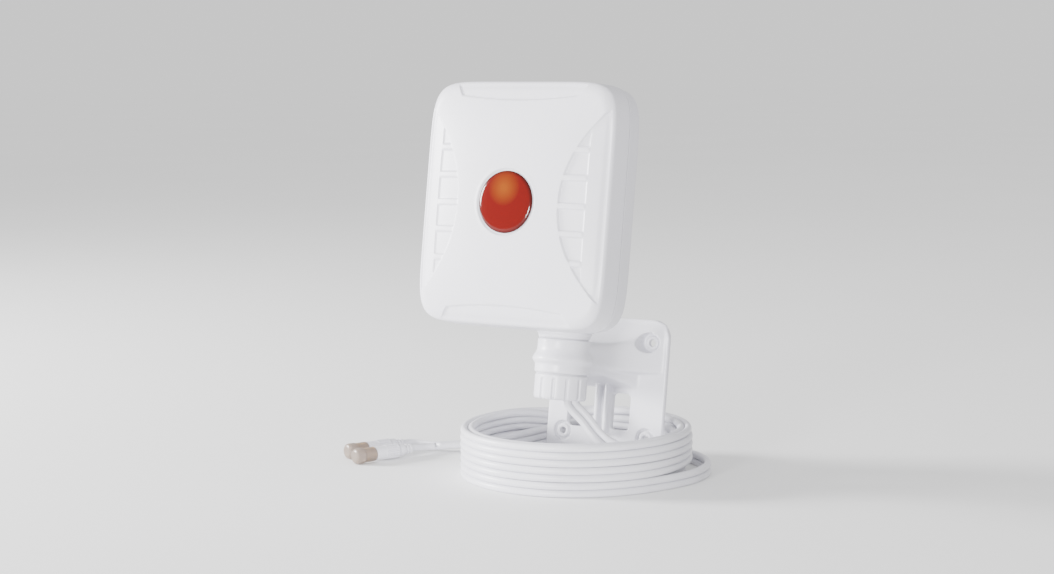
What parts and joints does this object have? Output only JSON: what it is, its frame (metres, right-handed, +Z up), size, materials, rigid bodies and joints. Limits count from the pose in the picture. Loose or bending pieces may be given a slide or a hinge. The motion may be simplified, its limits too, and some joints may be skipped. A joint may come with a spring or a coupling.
{
  "type": "panel antenna",
  "caption": "Flat two-port panel antenna on a swivel neck with a wall bracket and lock nut, and a coiled twin lead ending in capped screw-on plugs.",
  "frame": {"origin": "middle of the antenna and bracket, on the ground under them", "axes": "+Z up, the antenna faces -Y and leans back, +X to its left as it faces out"},
  "size_m": [0.2598, 0.187, 0.2692],
  "materials": {
    "housing_plastic": "satin white weatherproof plastic",
    "seal_rubber": "matt grey rubber",
    "stainless_steel": "satin",
    "badge_red": "glossy red print",
    "badge_gel": "glossy clear dome over a red print",
    "aluminium_sheet": "satin",
    "circuit_board": "green solder mask",
    "gold_plate": "gold plated",
    "brass_sheet": "satin",
    "clear_plastic": "matt natural plastic",
    "coax_black": "matt black jacket",
    "washer_plastic": "matt white plastic",
    "grommet_rubber": "matt dark rubber",
    "bracket_plastic": "satin white moulded plastic",
    "lead_jacket": "satin white jacket",
    "plug_plastic": "satin white plastic",
    "plug_metal": "satin",
    "cap_plastic": "translucent brown"
  },
  "bodies": {
    "bracket": {"bracket": "bracket_plastic", "lead_run": "lead_jacket", "lead_coil": "lead_jacket", "lead_tail": "lead_jacket", "left_strand": "lead_jacket", "left_boot": "plug_plastic", "left_plug_body": "plug_metal", "left_contact_pin": "gold_plate", "right_strand": "lead_jacket", "right_boot": "plug_plastic", "right_plug_body": "plug_metal", "right_contact_pin": "gold_plate"},
    "head": {"front_radome": "housing_plastic", "rear_shell": "housing_plastic", "neck_housing": "housing_plastic", "housing_gasket": "seal_rubber", "housing_screws": "stainless_steel", "badge_disc": "badge_red", "badge_dome": "badge_gel", "reflector_plate": "aluminium_sheet", "feed_board": "circuit_board", "feed_probes": "gold_plate", "driven_patch": "brass_sheet", "parasitic_patch": "aluminium_sheet", "patch_spacers": "clear_plastic", "inner_leads": "coax_black", "swivel_stem": "housing_plastic", "stem_clip": "stainless_steel", "friction_washer": "washer_plastic", "cable_grommet": "grommet_rubber"},
    "nut_carrier": {"slip_washer": "washer_plastic"},
    "lock_nut": {"lock_nut": "bracket_plastic"},
    "left_coupling_nut": {"left_coupling_nut": "plug_plastic", "left_thread_ring": "gold_plate"},
    "left_dust_cap": {"left_dust_cap": "cap_plastic"},
    "right_coupling_nut": {"right_coupling_nut": "plug_plastic", "right_thread_ring": "gold_plate"},
    "right_dust_cap": {"right_dust_cap": "cap_plastic"}
  },
  "joints": [
    {"name": "azimuth_swivel", "type": "hinge", "parent": "bracket", "child": "head", "pos_m": [0, 0.00415, 0.09663], "axis": [0, 0.1564, 0.9877], "range_deg": [-60, 60]},
    {"name": "nut_travel", "type": "slide", "parent": "head", "child": "nut_carrier", "axis": [0, -0.1564, -0.9877], "range_m": [0, 0.003]},
    {"name": "nut_turn", "type": "hinge", "parent": "nut_carrier", "child": "lock_nut", "pos_m": [0, -0.00095, 0.06443], "axis": [0, -0.1564, -0.9877], "range_deg": [0, 720]},
    {"name": "left_coupling_turn", "type": "hinge", "parent": "bracket", "child": "left_coupling_nut", "pos_m": [-0.16316, 0.0127, 0.0058], "axis": [-0.3256, -0.9455, 0], "continuous": true},
    {"name": "left_cap_pull", "type": "slide", "parent": "left_coupling_nut", "child": "left_dust_cap", "axis": [-0.3256, -0.9455, 0], "range_m": [0, 0.014]},
    {"name": "right_coupling_turn", "type": "hinge", "parent": "bracket", "child": "right_coupling_nut", "pos_m": [-0.14696, 0.0004, 0.0058], "axis": [-0.3256, -0.9455, 0], "continuous": true},
    {"name": "right_cap_pull", "type": "slide", "parent": "right_coupling_nut", "child": "right_dust_cap", "axis": [-0.3256, -0.9455, 0], "range_m": [0, 0.014]}
  ],
  "couplings": [
    {"joint": "nut_travel", "follows": "nut_turn", "m_per_rad": 0.00023873}
  ]
}
